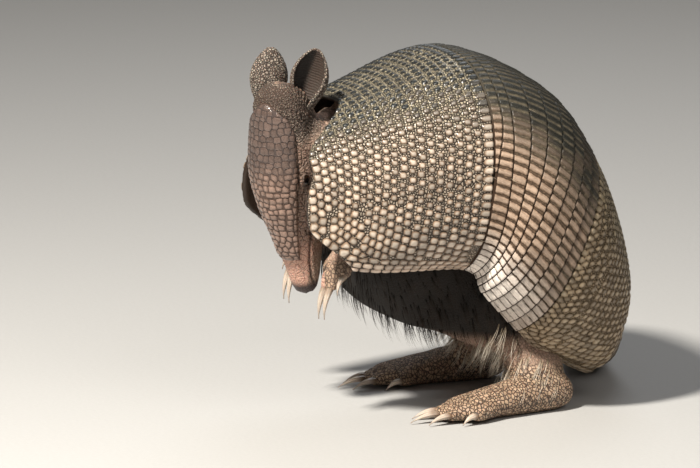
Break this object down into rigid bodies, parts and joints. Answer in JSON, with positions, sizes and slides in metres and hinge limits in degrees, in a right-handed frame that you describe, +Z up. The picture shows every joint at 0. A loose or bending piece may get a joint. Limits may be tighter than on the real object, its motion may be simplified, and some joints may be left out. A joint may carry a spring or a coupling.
{
  "type": "nine-banded armadillo",
  "caption": "Still life-size nine-banded armadillo propped on its hind feet, back arched, head hung down and forepaws hanging, with its tail laid on the floor.",
  "frame": {"origin": "middle of the bounding box's bottom face, on the floor the feet and tail lie on", "axes": "+Z up from the floor, -Y the way the body faces, +X the animal's left, away from the tail's tip"},
  "size_m": [0.413, 0.2762, 0.2079],
  "materials": {
    "shield_horn": "satin horn scutes, dark slate over the back, cream and tan down the flank",
    "band_horn": "satin horn scutes, pinkish tan, darker at the back",
    "tail_horn": "satin horn scutes in rings, grey brown",
    "skin": "matte wrinkled skin, pinkish brown, with sparse straw hairs",
    "belly_skin": "matte skin with dark brown hairs",
    "ear_skin": "matte pebbled skin, grey brown",
    "claw_horn": "smooth horn, ivory",
    "eye": "wet black"
  },
  "bodies": {
    "root": {"shell_shoulder": "shield_horn", "shell_band_1": "band_horn", "shell_band_2": "band_horn", "shell_band_3": "band_horn", "shell_band_4": "band_horn", "shell_band_5": "band_horn", "shell_band_6": "band_horn", "shell_band_7": "band_horn", "shell_band_8": "band_horn", "shell_band_9": "band_horn", "shell_pelvic": "shield_horn", "trunk": "belly_skin", "head": "skin", "eye_left": "eye", "eye_right": "eye", "head_shield": "shield_horn", "neck": "skin", "ear_left": "ear_skin", "ear_right": "ear_skin", "hindleg_left": "skin", "hindfoot_left": "skin", "hindclaw_left_1": "claw_horn", "hindclaw_left_2": "claw_horn", "hindclaw_left_3": "claw_horn", "hindclaw_left_4": "claw_horn", "hindclaw_left_5": "claw_horn", "hindleg_right": "skin", "hindfoot_right": "skin", "hindclaw_right_1": "claw_horn", "hindclaw_right_2": "claw_horn", "hindclaw_right_3": "claw_horn", "hindclaw_right_4": "claw_horn", "hindclaw_right_5": "claw_horn", "foreleg_left": "skin", "forepaw_left": "skin", "foreclaw_left_1": "claw_horn", "foreclaw_left_2": "claw_horn", "foreclaw_left_3": "claw_horn", "foreclaw_left_4": "claw_horn", "foreleg_right": "skin", "forepaw_right": "skin", "foreclaw_right_1": "claw_horn", "foreclaw_right_2": "claw_horn", "foreclaw_right_3": "claw_horn", "foreclaw_right_4": "claw_horn", "tail": "tail_horn", "tail_tip": "skin"}
  },
  "joints": []
}
